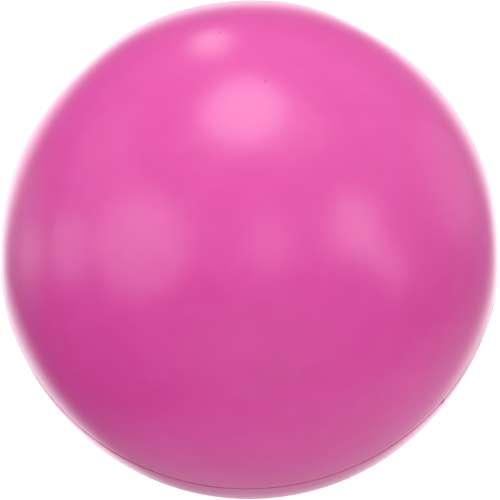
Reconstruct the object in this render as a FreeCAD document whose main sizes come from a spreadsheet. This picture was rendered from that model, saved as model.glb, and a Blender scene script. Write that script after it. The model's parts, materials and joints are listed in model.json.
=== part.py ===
import FreeCAD, Part
import math
import os
import Sketcher

# A burst-resistant exercise ball, moulded in one piece, with its valve.
#
# Frame: origin at the ball's centre. +Z is the mould axis, so the parting line lies in the XY plane.
# +Y is the side that the valve is on. Lengths are in millimetres and angles in degrees.
#
# Pieces:
#   ball_shell  the hollow ball, with the parting line's ridge round its equator and the valve's opening
#   valve_seat  the insert that the shell is moulded on to: plate, flange, hub and sleeve
#   valve_plug  the ribbed stopper, which slides out along the valve's axis
#
# The seat and the plug are each drawn along their own +Y and then turned up to the valve's latitude.

DRIVING_SIZES = [
    ("ball_diameter", 650, "outside, away from the parting line"),
    ("wall", 0.9, "shell thickness"),
    ("ridge_width", 1.5, "parting line, at its foot"),
    ("ridge_height", 0.45, "parting line, above the ball's surface"),
    ("valve_latitude", 12, "angle of the valve's axis above the parting plane"),
    ("plate_land", 6, "width of the seat's face round the recess"),
    ("flange_overlap", 6, "how far the flange runs on behind the shell"),
    ("flange_thickness", 1.2, "seat, behind the shell"),
    ("hub_wall", 2.5, "seat, round the recess"),
    ("hub_floor", 2.6, "seat, under the recess"),
    ("sleeve_wall", 3, "seat, round the bore"),
    ("sleeve_cover", 2, "how far the sleeve runs on past the plug's tip"),
    ("sleeve_root", 1.2, "fillet where the sleeve leaves the hub"),
    ("bore_diameter", 8, "through the sleeve"),
    ("bore_lead_in", 0.4, "chamfer at the bore's mouth, under the plug's head"),
    ("head_diameter", 19, "plug"),
    ("head_edge", 1.8, "plug head's thickness at its rim"),
    ("head_crown", 0.5, "rise of the head's domed face"),
    ("head_sink", 0.6, "top of the head below the ball's surface"),
    ("head_lip", 0.6, "chamfer under the head's rim, for a fingernail"),
    ("shank_length", 22, "plug, under the head"),
    ("shank_taper", 0.5, "from the head to the tip, on the radius"),
    ("tip_chamfer", 0.6, "plug, at the far end"),
    ("rib_count", 3, "sealing ribs on the shank"),
    ("rib_height", 0.45, "above the shank at the head"),
    ("rib_width", 1.6, "along the shank"),
    ("rib_land", 0.5, "flat on top of a rib"),
    ("rib_pitch", 5, "rib to rib"),
    ("rib_start", 4, "head to the first rib"),
    ("core_wall", 1.5, "round the blind hole at the tip, which lets the ribs give"),
    ("core_stop", 7, "end of the blind hole to the head"),
    ("head_clearance", 0.5, "head to the recess's side, on the radius"),
    ("head_gap", 0.1, "head to the recess's floor"),
    ("rib_clearance", 0.05, "rib to bore, on the radius"),
]

# Point numbers in a sketch's constraints.
START, END, CENTRE = 1, 2, 3
ORIGIN = (-1, START)
H_AXIS, V_AXIS = -1, -2
FULL_TURN = 360
SAME_PLACE = 1e-6

doc = FreeCAD.newDocument("exercise_ball")
sheet = doc.addObject("Spreadsheet::Sheet", "sizes")
for row, (alias, value, note) in enumerate(DRIVING_SIZES, start=1):
    sheet.set(f"A{row}", alias)
    sheet.set(f"B{row}", str(value))
    sheet.setAlias(f"B{row}", alias)
    sheet.set(f"C{row}", note)
doc.recompute()


def new_body(name, latitude=None):
    """A body, turned about X by the latitude if one is given."""
    body = doc.addObject("PartDesign::Body", name)
    body.Label = name
    if latitude:
        body.Placement = FreeCAD.Placement(FreeCAD.Vector(), FreeCAD.Rotation(FreeCAD.Vector(1, 0, 0), 1))
        body.setExpression("Placement.Rotation.Angle", latitude)
    return body


def origin_feature(body, role):
    return next(f for f in body.Origin.OriginFeatures if f.Role == role)


class Outline:
    """A closed sketch, drawn edge after edge. Every number in it is an expression on the sheet."""

    def __init__(self, body, name, plane):
        self.sketch = body.newObject("Sketcher::SketchObject", name)
        self.sketch.AttachmentSupport = [(origin_feature(body, plane), "")]
        self.sketch.MapMode = "FlatFace"

    def value(self, expression):
        return float(self.sketch.evalExpression(expression))

    def constrain(self, kind, *places):
        return self.sketch.addConstraint(Sketcher.Constraint(kind, *places))

    def dimension(self, name, kind, *places, to):
        index = self.constrain(kind, *places, self.value(to))
        self.sketch.renameConstraint(index, name)
        self.sketch.setExpression(f"Constraints.{name}", to)

    def line(self, start, end):
        """A line between two (along, out) points."""
        ends = [FreeCAD.Vector(*point, 0) for point in (start, end)]
        return self.sketch.addGeometry(Part.LineSegment(*ends))

    def arc(self, centre, start, end):
        """An arc that runs anticlockwise from start to end."""
        middle = FreeCAD.Vector(*centre, 0)
        radius = math.dist(centre, start)
        turns = [math.atan2(y - centre[1], x - centre[0]) for x, y in (start, end)]
        circle = Part.Circle(middle, FreeCAD.Vector(0, 0, 1), radius)
        return self.sketch.addGeometry(Part.ArcOfCircle(circle, *turns))

    def join(self, *ends):
        """Joins pairs of edge ends, each given as (edge, START or END)."""
        for one, other in zip(ends[::2], ends[1::2]):
            self.constrain("Coincident", *one, *other)

    def finished(self):
        doc.recompute()
        if self.sketch.solve() or not self.sketch.FullyConstrained:
            raise RuntimeError(f"{self.sketch.Name} is not fully constrained")
        return self.sketch


def turned(body, kind, name, sketch, axis):
    """A PartDesign Revolution or Groove of the sketch, all the way round one of its axes."""
    before = body.Shape.Volume if body.Tip else 0
    feature = body.newObject(f"PartDesign::{kind}", name)
    feature.Profile = sketch
    feature.ReferenceAxis = (sketch, [axis])
    feature.Angle = FULL_TURN
    doc.recompute()
    grown = body.Shape.Volume - before
    if grown == 0 or (grown > 0) != (kind == "Revolution"):
        raise RuntimeError(f"{name} changed the volume by {grown:.3f} mm3")
    return feature


def circular_edge(shape, radius, along):
    """The name of the circular edge round local Y that has this radius and this place along it."""
    for number, edge in enumerate(shape.Edges, start=1):
        if edge.Degenerated or not isinstance(edge.Curve, Part.Circle):
            continue
        found = (edge.Curve.Radius, edge.Curve.Center.y)
        if math.dist(found, (radius, along)) < SAME_PLACE:
            return f"Edge{number}"
    raise RuntimeError(f"no circular edge of radius {radius} at {along}")


def dressed(body, kind, name, base, radius, along, size):
    """A Fillet or Chamfer on one circular edge of the feature before it."""
    value = {"Fillet": "Radius", "Chamfer": "Size"}[kind]
    feature = body.newObject(f"PartDesign::{kind}", name)
    edge = circular_edge(base.Shape, *(float(body.evalExpression(e)) for e in (radius, along)))
    feature.Base = (base, [edge])
    feature.setExpression(value, size)
    doc.recompute()
    return feature


def sphere_point(radius, out):
    """The point on a ball's half section at this distance out from the axis."""
    return (math.sqrt(radius**2 - out**2), out)


# --- Where things are -----------------------------------------------------------------------------
# Radii of the ball, about its centre. Then places along the valve's axis, from the ball's centre, and
# radii about that axis.

OUTSIDE = "sizes.ball_diameter / 2"
INSIDE = f"{OUTSIDE} - sizes.wall"
FLANGE_INSIDE = f"{INSIDE} - sizes.flange_thickness"

HEAD_UNDERSIDE = f"{OUTSIDE} - sizes.head_sink - sizes.head_crown - sizes.head_edge"
RECESS_FLOOR = f"{HEAD_UNDERSIDE} - sizes.head_gap"
HUB_END = f"{RECESS_FLOOR} - sizes.hub_floor"
TIP = f"{HEAD_UNDERSIDE} - sizes.shank_length"
SLEEVE_END = f"{TIP} - sizes.sleeve_cover"
FIRST_RIB = f"{HEAD_UNDERSIDE} - sizes.rib_start"
CORE_END = f"{HEAD_UNDERSIDE} - sizes.core_stop"

HEAD_RADIUS = "sizes.head_diameter / 2"
RECESS_RADIUS = f"{HEAD_RADIUS} + sizes.head_clearance"
HUB_RADIUS = f"{RECESS_RADIUS} + sizes.hub_wall"
PLATE_RADIUS = f"{RECESS_RADIUS} + sizes.plate_land"
FLANGE_RADIUS = f"{PLATE_RADIUS} + sizes.flange_overlap"
BORE_RADIUS = "sizes.bore_diameter / 2"
SLEEVE_RADIUS = f"{BORE_RADIUS} + sizes.sleeve_wall"
RIB_RADIUS = f"{BORE_RADIUS} - sizes.rib_clearance"
SHANK_RADIUS = f"{RIB_RADIUS} - sizes.rib_height"
TIP_RADIUS = f"{SHANK_RADIUS} - sizes.shank_taper"
CORE_RADIUS = f"{TIP_RADIUS} - sizes.core_wall"
RIB_ROOT = f"{TIP_RADIUS} - sizes.core_wall / 2"


def arc_radius(half_chord, rise):
    """The radius of an arc that rises this far above the middle of its chord."""
    return f"(({half_chord}) ^ 2 + {rise} ^ 2) / (2 * {rise})"


# --- Ball shell -----------------------------------------------------------------------------------


def make_ball_shell():
    body = new_body("ball_shell")

    # Half section, drawn to the right of Z: the skin from pole to pole, with the ridge at the equator.
    skin = Outline(body, "shell_section", "XZ_Plane")
    outer, inner = skin.value(OUTSIDE), skin.value(INSIDE)
    half_width = skin.value("sizes.ridge_width / 2")
    crest_radius = arc_radius("sizes.ridge_width / 2", "sizes.ridge_height")
    foot_x = math.sqrt(outer**2 - half_width**2)
    crest_x = foot_x - math.sqrt(skin.value(crest_radius) ** 2 - half_width**2)
    upper = skin.arc((0, 0), (foot_x, half_width), (0, outer))
    north = skin.line((0, outer), (0, inner))
    hollow = skin.arc((0, 0), (0, -inner), (0, inner))
    south = skin.line((0, -inner), (0, -outer))
    lower = skin.arc((0, 0), (0, -outer), (foot_x, -half_width))
    ridge = skin.arc((crest_x, 0), (foot_x, -half_width), (foot_x, half_width))
    skin.join((upper, END), (north, START), (north, END), (hollow, END), (hollow, START), (south, START))
    skin.join((south, END), (lower, START), (lower, END), (ridge, START), (ridge, END), (upper, START))
    for arc in (upper, hollow, lower):
        skin.constrain("Coincident", arc, CENTRE, *ORIGIN)
    for pole in ((north, START), (north, END), (south, START), (south, END)):
        skin.constrain("PointOnObject", *pole, V_AXIS)
    skin.constrain("Equal", upper, lower)
    skin.constrain("PointOnObject", ridge, CENTRE, H_AXIS)
    skin.dimension("outer_radius", "Radius", upper, to=OUTSIDE)
    skin.dimension("inner_radius", "Radius", hollow, to=INSIDE)
    skin.dimension("ridge_width", "DistanceY", ridge, START, ridge, END, to="sizes.ridge_width")
    skin.dimension("crest_radius", "Radius", ridge, to=crest_radius)
    turned(body, "Revolution", "moulded_skin", skin.finished(), "V_Axis")

    # Opening for the seat's plate, cut round the valve's axis. It runs clear of both faces of the skin.
    cut = Outline(body, "opening_section", "YZ_Plane")
    cut.sketch.AttachmentOffset = FreeCAD.Placement(
        FreeCAD.Vector(), FreeCAD.Rotation(FreeCAD.Vector(0, 0, 1), 1)
    )
    cut.sketch.setExpression("AttachmentOffset.Rotation.Angle", "sizes.valve_latitude")
    outside_skin = f"{OUTSIDE} + sizes.hub_floor"
    low, high, out = (cut.value(e) for e in (HUB_END, outside_skin, PLATE_RADIUS))
    axis_edge = cut.line((low, 0), (high, 0))
    outer_edge = cut.line((high, 0), (high, out))
    side = cut.line((high, out), (low, out))
    inner_edge = cut.line((low, out), (low, 0))
    cut.join((axis_edge, END), (outer_edge, START), (outer_edge, END), (side, START))
    cut.join((side, END), (inner_edge, START), (inner_edge, END), (axis_edge, START))
    cut.constrain("PointOnObject", axis_edge, START, H_AXIS)
    for level in (axis_edge, side):
        cut.constrain("Horizontal", level)
    for upright in (outer_edge, inner_edge):
        cut.constrain("Vertical", upright)
    cut.dimension("inner_end", "DistanceX", *ORIGIN, axis_edge, START, to=HUB_END)
    cut.dimension("outer_end", "DistanceX", *ORIGIN, axis_edge, END, to=outside_skin)
    cut.dimension("opening_radius", "DistanceY", *ORIGIN, side, START, to=PLATE_RADIUS)
    turned(body, "Groove", "seat_opening", cut.finished(), "H_Axis")
    return body


# --- Valve seat -----------------------------------------------------------------------------------

def make_valve_seat():
    body = new_body("valve_seat", "sizes.valve_latitude")

    # Half section, with the valve's axis along the sketch's X. The plate's face continues the ball's
    # outside, the flange lies on its inside, and both of those arcs are centred on the ball.
    part = Outline(body, "seat_section", "YZ_Plane")
    outer, inner, flange_inner = (part.value(e) for e in (OUTSIDE, INSIDE, FLANGE_INSIDE))
    floor, hub_end, sleeve_end = (part.value(e) for e in (RECESS_FLOOR, HUB_END, SLEEVE_END))
    recess, plate, flange = (part.value(e) for e in (RECESS_RADIUS, PLATE_RADIUS, FLANGE_RADIUS))
    hub, sleeve, bore = (part.value(e) for e in (HUB_RADIUS, SLEEVE_RADIUS, BORE_RADIUS))

    face = part.arc((0, 0), sphere_point(outer, recess), sphere_point(outer, plate))
    plate_rim = part.line(sphere_point(outer, plate), sphere_point(inner, plate))
    bond = part.arc((0, 0), sphere_point(inner, plate), sphere_point(inner, flange))
    flange_rim = part.line(sphere_point(inner, flange), sphere_point(flange_inner, flange))
    back = part.arc((0, 0), sphere_point(flange_inner, hub), sphere_point(flange_inner, flange))
    hub_side = part.line(sphere_point(flange_inner, hub), (hub_end, hub))
    hub_face = part.line((hub_end, hub), (hub_end, sleeve))
    sleeve_side = part.line((hub_end, sleeve), (sleeve_end, sleeve))
    sleeve_face = part.line((sleeve_end, sleeve), (sleeve_end, bore))
    bore_side = part.line((sleeve_end, bore), (floor, bore))
    recess_floor = part.line((floor, bore), (floor, recess))
    recess_side = part.line((floor, recess), sphere_point(outer, recess))

    part.join((face, END), (plate_rim, START), (plate_rim, END), (bond, START))
    part.join((bond, END), (flange_rim, START), (flange_rim, END), (back, END))
    part.join((back, START), (hub_side, START), (hub_side, END), (hub_face, START))
    part.join((hub_face, END), (sleeve_side, START), (sleeve_side, END), (sleeve_face, START))
    part.join((sleeve_face, END), (bore_side, START), (bore_side, END), (recess_floor, START))
    part.join((recess_floor, END), (recess_side, START), (recess_side, END), (face, START))
    for arc in (face, bond, back):
        part.constrain("Coincident", arc, CENTRE, *ORIGIN)
    for side in (plate_rim, flange_rim, hub_side, sleeve_side, bore_side, recess_side):
        part.constrain("Horizontal", side)
    for end in (hub_face, sleeve_face, recess_floor):
        part.constrain("Vertical", end)

    part.dimension("face_radius", "Radius", face, to=OUTSIDE)
    part.dimension("bond_radius", "Radius", bond, to=INSIDE)
    part.dimension("back_radius", "Radius", back, to=FLANGE_INSIDE)
    for name, side, radius in (
        ("recess", recess_side, RECESS_RADIUS),
        ("plate", plate_rim, PLATE_RADIUS),
        ("flange", flange_rim, FLANGE_RADIUS),
        ("hub", hub_side, HUB_RADIUS),
        ("sleeve", sleeve_side, SLEEVE_RADIUS),
        ("bore", bore_side, BORE_RADIUS),
    ):
        part.dimension(f"{name}_radius", "DistanceY", *ORIGIN, side, START, to=radius)
    part.dimension("recess_floor", "DistanceX", *ORIGIN, recess_floor, START, to=RECESS_FLOOR)
    part.dimension("hub_end", "DistanceX", *ORIGIN, hub_face, START, to=HUB_END)
    part.dimension("sleeve_end", "DistanceX", *ORIGIN, sleeve_face, START, to=SLEEVE_END)
    insert = turned(body, "Revolution", "moulded_insert", part.finished(), "H_Axis")

    root = dressed(
        body, "Fillet", "sleeve_root", insert,
        radius=SLEEVE_RADIUS, along=HUB_END, size="sizes.sleeve_root",
    )
    dressed(
        body, "Chamfer", "bore_mouth", root,
        radius=BORE_RADIUS, along=RECESS_FLOOR, size="sizes.bore_lead_in",
    )
    return body


# --- Valve plug -----------------------------------------------------------------------------------

def make_valve_plug():
    body = new_body("valve_plug", "sizes.valve_latitude")

    # Head and tapered shank.
    part = Outline(body, "plug_section", "YZ_Plane")
    under, tip = part.value(HEAD_UNDERSIDE), part.value(TIP)
    rim = under + part.value("sizes.head_edge")
    head, shank, tip_out = (part.value(e) for e in (HEAD_RADIUS, SHANK_RADIUS, TIP_RADIUS))
    crown = part.value("sizes.head_crown")
    crown_radius = arc_radius(HEAD_RADIUS, "sizes.head_crown")
    crown_centre = (rim + crown - part.value(crown_radius), 0)
    dome = part.arc(crown_centre, (rim + crown, 0), (rim, head))
    head_rim = part.line((rim, head), (under, head))
    head_under = part.line((under, head), (under, shank))
    taper = part.line((under, shank), (tip, tip_out))
    tip_face = part.line((tip, tip_out), (tip, 0))
    axis_edge = part.line((tip, 0), (rim + crown, 0))
    part.join((dome, END), (head_rim, START), (head_rim, END), (head_under, START))
    part.join((head_under, END), (taper, START), (taper, END), (tip_face, START))
    part.join((tip_face, END), (axis_edge, START), (axis_edge, END), (dome, START))
    for point in ((axis_edge, START), (axis_edge, END), (dome, CENTRE)):
        part.constrain("PointOnObject", *point, H_AXIS)
    part.constrain("Horizontal", head_rim)
    for end in (head_under, tip_face):
        part.constrain("Vertical", end)
    part.dimension("crown_radius", "Radius", dome, to=crown_radius)
    part.dimension("head_radius", "DistanceY", *ORIGIN, head_rim, START, to=HEAD_RADIUS)
    part.dimension("head_edge", "DistanceX", head_rim, END, head_rim, START, to="sizes.head_edge")
    part.dimension("head_underside", "DistanceX", *ORIGIN, head_under, START, to=HEAD_UNDERSIDE)
    part.dimension("shank_radius", "DistanceY", *ORIGIN, taper, START, to=SHANK_RADIUS)
    part.dimension("tip_radius", "DistanceY", *ORIGIN, taper, END, to=TIP_RADIUS)
    part.dimension("tip", "DistanceX", *ORIGIN, tip_face, START, to=TIP)
    turned(body, "Revolution", "head_and_shank", part.finished(), "H_Axis")

    # Sealing ribs: square to the pull on the head's side, so that they hold, and sloped towards the tip.
    rib = Outline(body, "rib_section", "YZ_Plane")
    start, out, root = (rib.value(e) for e in (FIRST_RIB, RIB_RADIUS, RIB_ROOT))
    land, foot = start - rib.value("sizes.rib_land"), start - rib.value("sizes.rib_width")
    catch = rib.line((start, root), (start, out))
    top = rib.line((start, out), (land, out))
    slope = rib.line((land, out), (foot, root))
    base = rib.line((foot, root), (start, root))
    rib.join((catch, END), (top, START), (top, END), (slope, START))
    rib.join((slope, END), (base, START), (base, END), (catch, START))
    rib.constrain("Vertical", catch)
    for level in (top, base):
        rib.constrain("Horizontal", level)
    rib.dimension("rib_start", "DistanceX", *ORIGIN, catch, START, to=FIRST_RIB)
    rib.dimension("rib_radius", "DistanceY", *ORIGIN, top, START, to=RIB_RADIUS)
    rib.dimension("rib_root", "DistanceY", *ORIGIN, base, START, to=RIB_ROOT)
    rib.dimension("rib_land", "DistanceX", top, END, top, START, to="sizes.rib_land")
    rib.dimension("rib_width", "DistanceX", base, START, base, END, to="sizes.rib_width")
    one_rib = turned(body, "Revolution", "sealing_rib", rib.finished(), "H_Axis")
    ribs = body.newObject("PartDesign::LinearPattern", "sealing_ribs")
    ribs.Originals = [one_rib]
    ribs.Direction = (origin_feature(body, "Y_Axis"), [""])
    ribs.Reversed = True
    ribs.setExpression("Length", "sizes.rib_pitch * (sizes.rib_count - 1)")
    ribs.setExpression("Occurrences", "sizes.rib_count")
    body.Tip = ribs
    doc.recompute()

    # Blind hole up the shank.
    hole = Outline(body, "core_section", "YZ_Plane")
    end, out = hole.value(CORE_END), hole.value(CORE_RADIUS)
    axis_edge = hole.line((tip, 0), (end, 0))
    end_face = hole.line((end, 0), (end, out))
    side = hole.line((end, out), (tip, out))
    mouth = hole.line((tip, out), (tip, 0))
    hole.join((axis_edge, END), (end_face, START), (end_face, END), (side, START))
    hole.join((side, END), (mouth, START), (mouth, END), (axis_edge, START))
    hole.constrain("PointOnObject", axis_edge, START, H_AXIS)
    for level in (axis_edge, side):
        hole.constrain("Horizontal", level)
    for upright in (end_face, mouth):
        hole.constrain("Vertical", upright)
    hole.dimension("mouth", "DistanceX", *ORIGIN, axis_edge, START, to=TIP)
    hole.dimension("hole_end", "DistanceX", *ORIGIN, axis_edge, END, to=CORE_END)
    hole.dimension("hole_radius", "DistanceY", *ORIGIN, side, START, to=CORE_RADIUS)
    core = turned(body, "Groove", "shank_core", hole.finished(), "H_Axis")

    lip = dressed(
        body, "Chamfer", "head_lip", core,
        radius=HEAD_RADIUS, along=HEAD_UNDERSIDE, size="sizes.head_lip",
    )
    dressed(
        body, "Chamfer", "tip_chamfer", lip,
        radius=TIP_RADIUS, along=TIP, size="sizes.tip_chamfer",
    )
    return body


# --- Checks and files -----------------------------------------------------------------------------

pieces = [make_ball_shell(), make_valve_seat(), make_valve_plug()]
doc.recompute()

failed = [obj.Name for obj in doc.Objects if {"Invalid", "Error"} & set(obj.State)]
if failed:
    raise RuntimeError(f"objects failed to rebuild: {failed}")
for piece in pieces:
    shape = piece.Shape
    if shape.isNull() or not shape.isValid() or len(shape.Solids) != 1:
        raise RuntimeError(f"{piece.Label} is not one valid solid")

os.makedirs("parts", exist_ok=True)
for piece in pieces:
    piece.Shape.exportStep(f"parts/{piece.Label}.step")
    box = piece.Shape.optimalBoundingBox()
    size = " x ".join(f"{length:.2f}" for length in (box.XLength, box.YLength, box.ZLength))
    print(f"{piece.Label}: {piece.Shape.Volume / 1000:.3f} cm3, {size} mm")
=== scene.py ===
import json
import math

import bmesh
import bpy
import numpy as np
from mathutils import Matrix, Vector, noise


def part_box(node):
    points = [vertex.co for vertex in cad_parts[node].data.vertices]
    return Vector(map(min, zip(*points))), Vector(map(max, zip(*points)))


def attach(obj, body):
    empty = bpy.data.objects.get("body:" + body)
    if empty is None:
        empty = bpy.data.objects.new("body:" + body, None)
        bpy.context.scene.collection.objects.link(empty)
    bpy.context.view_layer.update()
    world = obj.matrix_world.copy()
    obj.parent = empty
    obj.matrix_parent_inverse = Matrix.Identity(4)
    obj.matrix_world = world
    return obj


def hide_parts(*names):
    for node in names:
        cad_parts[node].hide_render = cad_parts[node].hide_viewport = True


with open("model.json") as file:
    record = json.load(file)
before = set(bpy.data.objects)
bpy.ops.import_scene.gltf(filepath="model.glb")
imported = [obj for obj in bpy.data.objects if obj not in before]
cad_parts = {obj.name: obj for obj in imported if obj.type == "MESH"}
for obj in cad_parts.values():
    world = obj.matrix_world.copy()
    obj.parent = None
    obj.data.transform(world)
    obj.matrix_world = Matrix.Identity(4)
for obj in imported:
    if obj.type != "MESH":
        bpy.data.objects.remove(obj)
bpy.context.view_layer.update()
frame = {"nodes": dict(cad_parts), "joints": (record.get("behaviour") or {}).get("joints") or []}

# Metres and radians. The ball's centre is the origin, the parting line lies in the XY plane and the
# valve is on the +Y side, as in the frame.
MM = 0.001
BALL_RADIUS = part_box("ball_shell")[1].z
WALL = 0.9 * MM
VALVE_AXIS = Vector(frame["joints"][0]["axis"]).normalized()
VALVE_LATITUDE = math.asin(VALVE_AXIS.z)
VALVE_LONGITUDE = math.atan2(VALVE_AXIS.y, VALVE_AXIS.x)
OPENING_RADIUS = 16 * MM

# The camera looks down on the mould's pole from well above the parting plane, slightly rolled.
VIEW_ELEVATION = math.radians(67.5)
VIEW_ROLL = math.radians(-4.5)
VIEW_DISTANCE = BALL_RADIUS / 0.11
LENS_MM, SENSOR_MM = 162.3, 36
SHIFT = (0.0013, -0.0007)

TO_CAMERA = Vector((0, -math.cos(VIEW_ELEVATION), math.sin(VIEW_ELEVATION)))
LEVEL_RIGHT = Vector((1, 0, 0))
LEVEL_UP = Vector((0, math.sin(VIEW_ELEVATION), math.cos(VIEW_ELEVATION)))
RIGHT = LEVEL_RIGHT * math.cos(VIEW_ROLL) + LEVEL_UP * math.sin(VIEW_ROLL)
UP = LEVEL_UP * math.cos(VIEW_ROLL) - LEVEL_RIGHT * math.sin(VIEW_ROLL)


def studio(right, up, to_camera):
    """A unit vector, given along the camera's own axes."""
    return (RIGHT * right + UP * up + TO_CAMERA * to_camera).normalized()


# --- Shape of the inflated skin -------------------------------------------------------------------

# Parting line: a rounded ridge with a crease at each foot, and a thick spot where the mould leaked.
RIDGE_HALF_WIDTH = 0.8 * MM
RIDGE_HEIGHT = 0.42 * MM
CREASE_DEPTH, CREASE_WIDTH = 0.18 * MM, 0.35 * MM
MOULD_STEP, STEP_FADE = 0.12 * MM, 25 * MM
SEAM_WAVES = ((2, 0.10 * MM, 0.4), (5, 0.09 * MM, 2.1), (11, 0.07 * MM, 4.0), (23, 0.05 * MM, 1.3))
WANDER_FADE = math.radians(15)
NIB_LONGITUDE = math.radians(-45)
NIB_HEIGHT, NIB_LENGTH, NIB_WIDTH = 0.8 * MM, 3 * MM, 0.6 * MM

# Scored lines beside it: distance above it, and the longitudes between which each is seen.
SCORES = (
    (19 * MM, math.radians(-100), math.radians(-35)),
    (-24 * MM, math.radians(-125), math.radians(-70)),
)
SCORE_DEPTH, SCORE_WIDTH = 0.25 * MM, 0.9 * MM
SCORE_FADE = math.radians(12)

# Where the blown-up skin stands out or in: direction along the camera's axes, height, spread in degrees.
BULGES = (
    ((-1, -0.17, 0.1), 1.9 * MM, 13),
    ((0.17, 1, 0.1), 1.5 * MM, 10),
    ((1, -0.17, 0.1), 1.1 * MM, 12),
    ((0.5, 0.87, 0.1), -1.1 * MM, 10),
    ((-0.7, 0.7, 0.1), -1.0 * MM, 17),
    ((-0.7, -0.7, 0.1), -0.7 * MM, 17),
    ((0.75, -0.65, 0.1), -0.6 * MM, 17),
    ((-0.1, -0.3, -1), 1.2 * MM, 22),
    ((0.6, 0.3, -0.8), -0.9 * MM, 20),
)
RIPPLES = ((3.2, 0.22 * MM), (8, 0.06 * MM))  # turns of noise over the radius, and height
FLAT_NEAR_VALVE, ROUND_AGAIN = 24 * MM, 60 * MM

# Grid of the skin: rows of latitude from cap to cap, and columns of longitude.
CAP_EDGE = math.radians(60)
COARSE = 8.5 * MM
SEAM_ROW, SCORE_ROW, SEAM_GROWTH = 0.2 * MM, 0.35 * MM, 0.3
INNER_SKIP = 8 * MM  # the inner skin has no rows this near the parting line, but for the one on it
NIB_COLUMN, VALVE_CELL, LOCAL_GROWTH = 1.6 * MM, 2.4 * MM, 0.25
WINDOW_HALF = 23 * MM
WINDOW_LAYERS = 4
EDGE_ROUNDING, EDGE_STEPS = 0.3 * MM, 4
FINE_STEPS = 20000  # of the sum that grades the rows and columns


def smooth_step(x, low, high):
    t = np.clip((x - low) / (high - low), 0, 1)
    return t * t * (3 - 2 * t)


def direction_of(longitude, latitude):
    return np.stack(
        [np.cos(latitude) * np.cos(longitude), np.cos(latitude) * np.sin(longitude), np.sin(latitude)], -1
    )


def turn_between(a, b):
    """The angle from b to a, between minus and plus half a turn."""
    return (a - b + math.pi) % math.tau - math.pi


def seam_wander(longitude):
    """How far the parting line lies above the XY plane, along the surface."""
    return sum(height * np.sin(turns * longitude + phase) for turns, height, phase in SEAM_WAVES)


def ridge(longitude, across):
    """Height of the parting line's ridge and creases at a distance across it."""
    along = turn_between(longitude, NIB_LONGITUDE) * BALL_RADIUS
    nib = np.exp(-((along / NIB_LENGTH) ** 2))
    uneven = 1 + 0.16 * np.sin(17 * longitude + 1) + 0.12 * np.sin(41 * longitude) * np.sin(3 * longitude)
    height = RIDGE_HEIGHT * uneven + NIB_HEIGHT * nib
    half = RIDGE_HALF_WIDTH + NIB_WIDTH * nib
    crown = height * np.clip(1 - (across / half) ** 2, 0, None)
    crease = CREASE_DEPTH * np.exp(-(((np.abs(across) - half - CREASE_WIDTH / 2) / CREASE_WIDTH) ** 2))
    step = MOULD_STEP * smooth_step(across, -half, half) * np.exp(-np.abs(across) / STEP_FADE)
    return crown - crease + step - score(longitude, across)


def score(longitude, across):
    """Depth of the faint lines that the mould's flanges left above and below the parting line."""
    depth = np.zeros(len(longitude))
    for above, start, end in SCORES:
        length = smooth_step(longitude, start, start + SCORE_FADE)
        length *= smooth_step(-longitude, -end, SCORE_FADE - end)
        depth += SCORE_DEPTH * length * np.exp(-(((across - above) / SCORE_WIDTH) ** 2))
    return depth


def lumps(directions):
    """Height of the skin's slow undulations, which die out towards the valve."""
    total = np.zeros(len(directions))
    for towards, height, spread in BULGES:
        angle = np.arccos(np.clip(directions @ np.array(studio(*towards)), -1, 1))
        total += height * np.exp(-((angle / math.radians(spread)) ** 2))
    for turns, height in RIPPLES:
        total += height * np.array([noise.noise(Vector(d) * turns) for d in directions])
    from_valve = BALL_RADIUS * np.arccos(np.clip(directions @ np.array(VALVE_AXIS), -1, 1))
    return total * smooth_step(from_valve, FLAT_NEAR_VALVE, ROUND_AGAIN)


def skin(longitude, latitude, inside):
    """Points of the outer or inner skin. Latitude is counted from the wandering parting line."""
    fade = 1 - smooth_step(np.abs(latitude), 0, WANDER_FADE)
    shifted = latitude + seam_wander(longitude) / BALL_RADIUS * fade
    directions = direction_of(longitude, shifted)
    radius = BALL_RADIUS + lumps(directions)
    radius += -WALL if inside else ridge(longitude, latitude * BALL_RADIUS)
    return directions * radius[:, None]


# --- Grid of the ball -----------------------------------------------------------------------------


def graded(start, stop, spacing, multiple=1):
    """Values from start to stop whose steps follow spacing(value), their count a multiple."""
    fine = np.linspace(start, stop, FINE_STEPS + 1)
    steps = np.concatenate([[0], np.cumsum(np.diff(fine) / spacing((fine[1:] + fine[:-1]) / 2))])
    count = multiple * max(1, round(steps[-1] / multiple))
    return np.interp(np.linspace(0, steps[-1], count + 1), steps, fine)


def column_spacing(longitude):
    nib = np.abs(turn_between(longitude, NIB_LONGITUDE)) * BALL_RADIUS
    valve = np.abs(turn_between(longitude, VALVE_LONGITUDE)) * BALL_RADIUS
    near_nib = NIB_COLUMN + LOCAL_GROWTH * nib
    near_valve = VALVE_CELL + LOCAL_GROWTH * np.clip(valve - WINDOW_HALF, 0, None)
    return np.minimum(np.minimum(near_nib, near_valve), COARSE) / BALL_RADIUS


def row_spacing(latitude):
    above = latitude * BALL_RADIUS
    seam = SEAM_ROW + SEAM_GROWTH * np.abs(above)
    for line, _, _ in SCORES:
        seam = np.minimum(seam, SCORE_ROW + SEAM_GROWTH * np.abs(above - line))
    valve = np.abs(latitude - VALVE_LATITUDE) * BALL_RADIUS
    near_valve = VALVE_CELL + LOCAL_GROWTH * np.clip(valve - WINDOW_HALF, 0, None)
    return np.minimum(np.minimum(seam, near_valve), COARSE) / BALL_RADIUS


COLUMNS = graded(VALVE_LONGITUDE - math.pi, VALVE_LONGITUDE + math.pi, column_spacing, multiple=8)[:-1]
SOUTH = graded(-CAP_EDGE, 0, row_spacing)
NORTH = graded(0, CAP_EDGE, row_spacing)
OUTER_ROWS = np.concatenate([SOUTH, NORTH[1:]])
INNER_ROWS = OUTER_ROWS[(np.abs(OUTER_ROWS) > INNER_SKIP / BALL_RADIUS) | (OUTER_ROWS == 0)]


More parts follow.
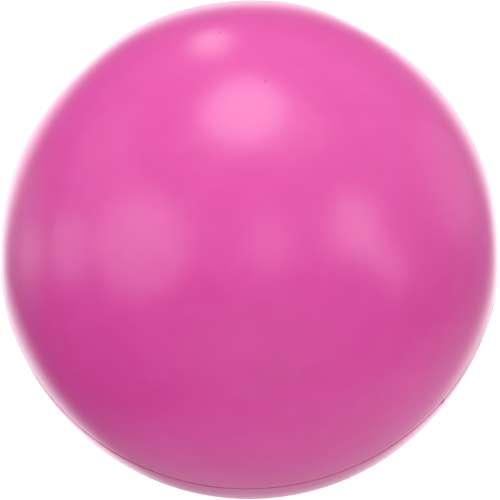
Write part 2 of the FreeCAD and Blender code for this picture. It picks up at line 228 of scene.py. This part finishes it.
class Skin:
    """One skin of the ball: a band of rows and columns, a grid over each pole, and a round opening."""

    def __init__(self, rows, inside):
        self.rows, self.inside = rows, inside
        self.points, self.faces, self.count = [], [], 0
        self.band()
        for north in (False, True):
            self.cap(north)
        self.opening = self.window()

    def add(self, longitudes, latitudes):
        points = skin(np.asarray(longitudes, float), np.asarray(latitudes, float), self.inside)
        return self.add_points(points)

    def add_points(self, points):
        first = self.count
        self.points.extend(map(tuple, points))
        self.count += len(points)
        return list(range(first, self.count))

    def band(self):
        turns = len(COLUMNS)
        longitudes, latitudes = np.meshgrid(COLUMNS, self.rows)
        numbers = np.array(self.add(longitudes.ravel(), latitudes.ravel())).reshape(-1, turns)
        half = WINDOW_HALF / BALL_RADIUS
        in_row = np.flatnonzero(np.abs(self.rows - VALVE_LATITUDE) < half)
        in_column = np.flatnonzero(np.abs(turn_between(COLUMNS, VALVE_LONGITUDE)) < half)
        self.low, self.high, self.left, self.right = in_row[0], in_row[-1], in_column[0], in_column[-1]
        for r in range(len(self.rows) - 1):
            for c in range(turns):
                if self.low <= r < self.high and self.left <= c < self.right:
                    continue
                n = (c + 1) % turns
                self.faces.append((numbers[r, c], numbers[r, n], numbers[r + 1, n], numbers[r + 1, c]))
        self.numbers = numbers

    def cap(self, north):
        """A square grid drawn on a disc, so that nothing narrows to a point at the pole."""
        turns = len(COLUMNS)
        side = turns // 4
        edge = self.numbers[-1] if north else self.numbers[0]
        wrapped = np.append(COLUMNS, COLUMNS[0] + math.tau)
        grid = np.linspace(-1, 1, side + 1)
        numbers = np.zeros((side + 1, side + 1), int)
        inner, longitudes, latitudes = [], [], []
        for i, x in enumerate(grid):
            for j, y in enumerate(grid):
                out = max(abs(x), abs(y))
                if out == 0:
                    turn = 0
                elif abs(x) >= abs(y):
                    turn = y / x / 8 + (0 if x > 0 else 0.5)
                else:
                    turn = 0.25 - x / y / 8 + (0 if y > 0 else 0.5)
                place = turn % 1 * turns
                if i in (0, side) or j in (0, side):
                    numbers[i, j] = edge[round(place) % turns]
                    continue
                inner.append((i, j))
                longitudes.append(np.interp(place, range(turns + 1), wrapped))
                latitudes.append((math.pi / 2 - out * (math.pi / 2 - CAP_EDGE)) * (1 if north else -1))
        for (i, j), number in zip(inner, self.add(longitudes, latitudes)):
            numbers[i, j] = number
        for i in range(side):
            for j in range(side):
                near, far = numbers[i], numbers[i + 1]
                self.faces.append((near[j], far[j], far[j + 1], near[j + 1]))

    def window(self):
        """Rings from the band's square window to the round opening. Returns the last ring."""
        low, high, left, right = self.low, self.high, self.left, self.right
        loop = [self.numbers[low, c] for c in range(left, right)]
        loop += [self.numbers[r, right] for r in range(low, high)]
        loop += [self.numbers[high, c] for c in range(right, left, -1)]
        loop += [self.numbers[r, left] for r in range(high, low, -1)]
        corners = np.array([self.points[n] for n in loop])
        radius = BALL_RADIUS - (WALL if self.inside else 0)
        angles, turns = around_valve(corners)
        opening = OPENING_RADIUS + (0 if self.inside else EDGE_ROUNDING)
        goal = math.asin(opening / radius)
        ring = loop
        for layer in range(1, WINDOW_LAYERS + 1):
            share = layer / WINDOW_LAYERS
            angle = angles * (1 - share) + goal * share
            numbers = self.add_points(valve_points(radius * np.sin(angle), radius * np.cos(angle), turns))
            self.bridge(ring, numbers)
            ring = numbers
        self.turns = turns
        return ring

    def bridge(self, ring, other):
        for a, b, c, d in zip(ring, ring[1:] + ring[:1], other[1:] + other[:1], other):
            self.faces.append((a, b, c, d))


VALVE_SIDE = Vector((1, 0, 0))
VALVE_TOP = VALVE_SIDE.cross(VALVE_AXIS)


def around_valve(points):
    """Each point's angle from the valve's axis, seen from the ball's centre, and its turn about it."""
    along, side, top = (points @ np.array(v) for v in (VALVE_AXIS, VALVE_SIDE, VALVE_TOP))
    return np.arctan2(np.hypot(side, top), along), np.arctan2(top, side)


def valve_points(out, along, turns):
    """Points at a distance out from the valve's axis and along it from the ball's centre."""
    sideways = np.cos(turns)[:, None] * np.array(VALVE_SIDE) + np.sin(turns)[:, None] * np.array(VALVE_TOP)
    out, along = (np.broadcast_to(v, turns.shape)[:, None] for v in (out, along))
    return out * sideways + along * np.array(VALVE_AXIS)


def new_object(name, points, faces):
    mesh = bpy.data.meshes.new(name)
    mesh.from_pydata([tuple(p) for p in points], [], [tuple(int(n) for n in f) for f in faces])
    shape = bmesh.new()
    shape.from_mesh(mesh)
    bmesh.ops.recalc_face_normals(shape, faces=shape.faces)
    shape.to_mesh(mesh)
    shape.free()
    mesh.polygons.foreach_set("use_smooth", [True] * len(mesh.polygons))
    piece = bpy.data.objects.new(name, mesh)
    bpy.context.scene.collection.objects.link(piece)
    return piece


def make_ball():
    outer, inner = Skin(OUTER_ROWS, inside=False), Skin(INNER_ROWS, inside=True)
    # The opening's outer edge is rounded over before it runs down to the inner skin.
    surface = math.sqrt(BALL_RADIUS**2 - (OPENING_RADIUS + EDGE_ROUNDING) ** 2)
    ring = outer.opening
    for step in range(1, EDGE_STEPS + 1):
        bend = math.pi / 2 * step / EDGE_STEPS
        out = OPENING_RADIUS + EDGE_ROUNDING * (1 - math.sin(bend))
        along = surface - EDGE_ROUNDING * (1 - math.cos(bend))
        numbers = outer.add_points(valve_points(out, along, outer.turns))
        outer.bridge(ring, numbers)
        ring = numbers
    offset = outer.count
    faces = outer.faces + [tuple(n + offset for n in face) for face in inner.faces]
    far = [n + offset for n in inner.opening]
    faces += list(zip(ring, ring[1:] + ring[:1], far[1:] + far[:1], far))
    return new_object("ball_skin", outer.points + inner.points, faces)


# --- Materials ------------------------------------------------------------------------------------


class Nodes:
    """A node tree, with short calls for the nodes that the materials and the world share."""

    def __init__(self, tree, coordinate="Object"):
        self.tree = tree
        self.place = self.node("ShaderNodeTexCoord").outputs[coordinate]

    def node(self, kind, inputs=(), **settings):
        node = self.tree.nodes.new(kind)
        for key, value in settings.items():
            setattr(node, key, value)
        for key, value in dict(inputs).items():
            self.set(node.inputs[key], value)
        return node

    def set(self, socket, value):
        if isinstance(value, bpy.types.NodeSocket):
            self.tree.links.new(value, socket)
        else:
            socket.default_value = value

    def noise(self, scale, detail=3.0, roughness=0.5):
        """Noise with this many features per metre, from 0 to 1."""
        inputs = {"Vector": self.place, "Scale": scale, "Detail": detail, "Roughness": roughness}
        return self.node("ShaderNodeTexNoise", inputs).outputs["Fac"]

    def ramp(self, value, low, high, to=(0.0, 1.0)):
        inputs = {"Value": value, "From Min": low, "From Max": high, "To Min": to[0], "To Max": to[1]}
        return self.node("ShaderNodeMapRange", inputs, interpolation_type="SMOOTHSTEP").outputs["Result"]

    def maths(self, operation, *values):
        node = self.node("ShaderNodeMath", operation=operation)
        for socket, value in zip(node.inputs, values):
            self.set(socket, value)
        return node.outputs["Value"]

    def mix(self, share, first, second):
        node = self.node("ShaderNodeMix", data_type="RGBA")
        # A mix node has an A and a B socket for each kind of value, so the colours' own go by number.
        for socket, value in (("Factor", share), (6, first), (7, second)):
            self.set(node.inputs[socket], value)
        return node.outputs[2]

    def bump(self, height, distance, strength=1.0, normal=None):
        inputs = {"Height": height, "Distance": distance, "Strength": strength}
        if normal:
            inputs["Normal"] = normal
        return self.node("ShaderNodeBump", inputs).outputs["Normal"]


class Material(Nodes):
    def __init__(self, name):
        self.material = bpy.data.materials.new(name)
        self.material.use_nodes = True
        super().__init__(self.material.node_tree)

    def finish(self, **sockets):
        shader = self.tree.nodes["Principled BSDF"]
        for key, value in sockets.items():
            self.set(shader.inputs[key.replace("_", " ")], value)
        return self.material


PINK = (0.65, 0.061, 0.323, 1)
PINK_DEEP = (0.625, 0.055, 0.30, 1)
PINK_PALE = (0.67, 0.070, 0.345, 1)
SEAM_COLOUR = (0.36, 0.012, 0.12, 1)
SPECK_COLOUR = (0.30, 0.02, 0.08, 1)
SPECKS = ((-0.11, 0.82, 0.56), (0.06, 0.62, 0.78))  # along the camera's axes
SPECK_RADIUS = 1.6 * MM
PINHOLES = (0.012, 0.006)  # edge and floor of a pinhole, as a share of the spacing
PINHOLES_PER_METRE = 14.0
# Outside the parting line it stays below 0.27, because the denoiser treats rougher skin as another kind of
# surface, and draws an outline round every patch of it.
GLOSS = (0.24, 0.265)
SEAT, SEAT_DEEP = (0.60, 0.04, 0.26, 1), (0.52, 0.03, 0.21, 1)
PLUG, PLUG_HANDLED = (0.79, 0.78, 0.75, 1), (0.72, 0.69, 0.65, 1)
PVC_IOR, PLUG_IOR = 1.5, 1.49


def ball_material():
    m = Material("ball_pvc")
    clouds, blotches = m.noise(7, detail=1), m.noise(30, detail=2)
    colour = m.mix(m.ramp(clouds, 0.25, 0.75), PINK, PINK_DEEP)
    colour = m.mix(m.ramp(blotches, 0.3, 0.9, to=(0, 0.6)), colour, PINK_PALE)

    # Dirt and shadow held in the parting line, uneven along it.
    height = m.node("ShaderNodeSeparateXYZ", {"Vector": m.place}).outputs["Z"]
    across = m.maths("ABSOLUTE", height)
    uneven = m.ramp(m.noise(60, detail=5), 0.3, 0.7, to=(0.75, 1.0))
    line = m.maths("MULTIPLY", m.ramp(across, 2.2 * MM, 0.7 * MM), uneven)
    colour = m.mix(line, colour, SEAM_COLOUR)

    # Two pinholes, and a few fainter ones scattered over the ball.
    pits = None
    for towards in SPECKS:
        spot = studio(*towards) * BALL_RADIUS
        far = m.node("ShaderNodeVectorMath", operation="DISTANCE")
        m.set(far.inputs[0], m.place)
        m.set(far.inputs[1], spot)
        pit = m.ramp(far.outputs["Value"], SPECK_RADIUS, SPECK_RADIUS * 0.4)
        pits = m.maths("MAXIMUM", pits, pit) if pits else pit
    cells = {"Vector": m.place, "Scale": PINHOLES_PER_METRE, "Randomness": 1.0}
    scatter = m.node("ShaderNodeTexVoronoi", cells)
    pinhole = m.ramp(scatter.outputs["Distance"], *PINHOLES, to=(0, 0.4))
    colour = m.mix(pinhole, colour, SPECK_COLOUR)
    colour = m.mix(pits, colour, SPECK_COLOUR)

    # Semi-gloss skin: fine grain from the mould, dull patches where it has been handled.
    grain, pores = m.noise(1400, detail=2), m.noise(260, detail=3)
    roughness = m.ramp(m.noise(12, detail=2), 0.2, 0.8, to=GLOSS)
    roughness = m.maths("ADD", roughness, m.maths("MULTIPLY", line, 0.1))
    normal = m.bump(grain, 0.04 * MM, 0.5)
    normal = m.bump(pores, 0.05 * MM, 0.5, normal)
    normal = m.bump(m.maths("MULTIPLY", pits, -1), 0.5 * MM, 1.0, normal)
    return m.finish(Base_Color=colour, Roughness=roughness, Normal=normal, IOR=PVC_IOR)


def seat_material():
    m = Material("seat_pvc")
    colour = m.mix(m.ramp(m.noise(160, detail=4), 0.35, 0.7), SEAT, SEAT_DEEP)
    roughness = m.ramp(m.noise(420, detail=3), 0.3, 0.7, to=(0.34, 0.48))
    normal = m.bump(m.noise(1800, detail=2), 0.03 * MM)
    return m.finish(Base_Color=colour, Roughness=roughness, Normal=normal, IOR=PVC_IOR)


def plug_material():
    m = Material("plug_plastic")
    handled = m.ramp(m.noise(110, detail=3), 0.35, 0.8)
    colour = m.mix(handled, PLUG, PLUG_HANDLED)
    roughness = m.ramp(m.noise(500, detail=3), 0.3, 0.7, to=(0.3, 0.45))
    normal = m.bump(m.noise(2200, detail=2), 0.02 * MM)
    return m.finish(Base_Color=colour, Roughness=roughness, Normal=normal, IOR=PLUG_IOR)


# --- Studio ---------------------------------------------------------------------------------------

FLOOR_SIZE = 60
PAPER = (0.90, 0.90, 0.90, 1)
PAPER_SHADE = (0.86, 0.86, 0.87, 1)
PAPER_GLOW = 0.6
CLIP_END = 100
LIGHT_DISTANCE = 2.0
STEEP = 0.95  # cosine: a light nearer than this to straight above or below is levelled by RIGHT
WHITE = (1, 1, 1, 1)

# Direction along the camera's axes, width and height, watts, tint, and whether it shows in the gloss.
COOL, NEUTRAL = (0.94, 0.99, 1), (1, 1, 1)
LIGHTS = {
    "overhead": ((-0.03, 0.87, 0.49), (1.05, 1.2), 10.5, COOL, True),
    "ceiling": ((0.05, 0.8, 0.6), (2.0, 1.2), 6.5, COOL, True),
    "behind": ((-0.18, 0.95, -0.20), (0.38, 0.75), 2.0, COOL, True),
    "left": ((-0.72, 0.04, 0.69), (1.55, 1.5), 10, COOL, True),
    "left_core": ((-0.68, 0.10, 0.73), (0.6, 0.6), 0.5, COOL, True),
    "middle_left": ((-0.99, 0.02, 0.15), (0.85, 0.78), 2.4, NEUTRAL, True),
    "far_left": ((-0.95, -0.01, -0.31), (0.8, 0.5), 0.7, NEUTRAL, True),
    "upper_left": ((-0.8, 0.5, 0.2), (1.2, 1.2), 1.4, NEUTRAL, True),
    "right": ((0.69, 0.16, 0.70), (0.7, 0.85), 3.6, NEUTRAL, True),
    "right_lower": ((0.82, -0.02, 0.57), (0.45, 0.5), 1.1, NEUTRAL, True),
    "right_lowest": ((0.89, -0.14, 0.43), (0.4, 0.4), 0.7, NEUTRAL, True),
    "back_right": ((0.8, 0.3, -0.2), (1.2, 1.2), 1.6, NEUTRAL, True),
    "window": ((0.13, 0.03, 1), (0.5, 0.9), 1.4, NEUTRAL, True),
    "fill": ((0.05, -0.7, 0.7), (2.4, 1.6), 18, NEUTRAL, False),
    "upper_fill": ((0.15, 0.95, 0.2), (2.0, 1.5), 4, COOL, False),
    "side_right": ((1, 0.2, -0.1), (1.2, 1.2), 4.5, NEUTRAL, False),
    "side_left": ((-1, 0, -0.2), (1.2, 1.2), 3.2, NEUTRAL, False),
}

# What the ball mirrors beside the lights: direction along the camera's axes, the cosines of the angle to it
# at which each patch starts and is full, and its strength. They add up.
WORLD_BASE = 0.07
WALLS = {
    "upper_half": ((0, 1, 0), -0.2, 0.1, 0.20),
    "upper_front": ((0, 0.8, 0.6), 0.2, 0.6, 0.38),
    "right_half": ((1, 0, 0), 0, 0.9, 0.2),
    "below": ((0.25, -0.85, -0.5), 0.5, 0.95, 0.6),
    "behind": ((0, 0.1, -1), 0.8, 0.97, 0.8),
    "behind_upper_left": ((-0.42, 0.21, -0.88), 0.95, 0.99, 1.6),
    "behind_lower_left": ((-0.37, -0.20, -0.91), 0.95, 0.99, 1.3),
    "behind_upper_right": ((0.34, 0.19, -0.92), 0.95, 0.99, 1.0),
    "behind_lower_right": ((0.36, -0.15, -0.92), 0.95, 0.99, 0.8),
    "behind_top": ((-0.07, 0.33, -0.94), 0.95, 0.99, 0.7),
    "behind_left": ((-0.84, 0.04, -0.54), 0.95, 0.98, 0.3),
}


def make_camera():
    data = bpy.data.cameras.new("camera")
    data.lens, data.sensor_width = LENS_MM, SENSOR_MM
    data.shift_x, data.shift_y = SHIFT
    data.clip_end = CLIP_END
    camera = bpy.data.objects.new("camera", data)
    axes = Matrix((RIGHT, UP, TO_CAMERA)).transposed().to_4x4()
    camera.matrix_world = Matrix.Translation(TO_CAMERA * VIEW_DISTANCE) @ axes
    bpy.context.scene.collection.objects.link(camera)
    bpy.context.scene.camera = camera


def make_light(name, towards, size, power, colour, glossy):
    """A soft oval light that faces the ball from a direction along the camera's axes."""
    data = bpy.data.lights.new(name, "AREA")
    data.shape = "ELLIPSE"
    data.size, data.size_y = size
    data.energy, data.color = power, colour
    light = bpy.data.objects.new(name, data)
    back = studio(*towards)
    side = UP.cross(back) if abs(back.dot(UP)) < STEEP else RIGHT
    side.normalize()
    axes = Matrix((side, back.cross(side), back)).transposed().to_4x4()
    light.matrix_world = Matrix.Translation(back * LIGHT_DISTANCE) @ axes
    light.visible_camera = False
    light.visible_glossy = glossy
    bpy.context.scene.collection.objects.link(light)


def make_floor():
    """A sheet of white paper, lit from within too, so that it stays white round the ball."""
    half = FLOOR_SIZE / 2
    corners = [(-half, -half, 0), (half, -half, 0), (half, half, 0), (-half, half, 0)]
    mesh = bpy.data.meshes.new("floor")
    mesh.from_pydata(corners, [], [(0, 1, 2, 3)])
    floor = bpy.data.objects.new("floor", mesh)
    floor.location.z = -BALL_RADIUS - RIDGE_HEIGHT
    floor.visible_glossy = floor.visible_diffuse = False
    bpy.context.scene.collection.objects.link(floor)
    m = Material("floor_paper")
    shade = m.mix(m.noise(3, detail=4), PAPER, PAPER_SHADE)
    paper = m.finish(Base_Color=shade, Roughness=0.8, Emission_Color=shade, Emission_Strength=PAPER_GLOW)
    mesh.materials.append(paper)


def make_world():
    world = bpy.data.worlds.new("studio")
    bpy.context.scene.world = world
    world.use_nodes = True
    n = Nodes(world.node_tree, "Generated")
    total = WORLD_BASE
    for towards, start, full, strength in WALLS.values():
        facing = n.node("ShaderNodeVectorMath", operation="DOT_PRODUCT")
        n.set(facing.inputs[0], n.place)
        n.set(facing.inputs[1], studio(*towards))
        total = n.maths("ADD", total, n.ramp(facing.outputs["Value"], start, full, to=(0, strength)))
    n.set(n.tree.nodes["Background"].inputs["Color"], WHITE)
    n.set(n.tree.nodes["Background"].inputs["Strength"], total)
    bpy.context.scene.view_settings.view_transform = "Standard"


# --- Assembly -------------------------------------------------------------------------------------

make_camera()
make_floor()
make_world()
for name, light in LIGHTS.items():
    make_light(name, *light)

ball = make_ball()
ball.data.materials.append(ball_material())
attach(ball, "ball")
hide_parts("ball_shell")

for node, material in (("valve_seat", seat_material()), ("valve_plug", plug_material())):
    for slot in frame["nodes"][node].material_slots:
        slot.material = material
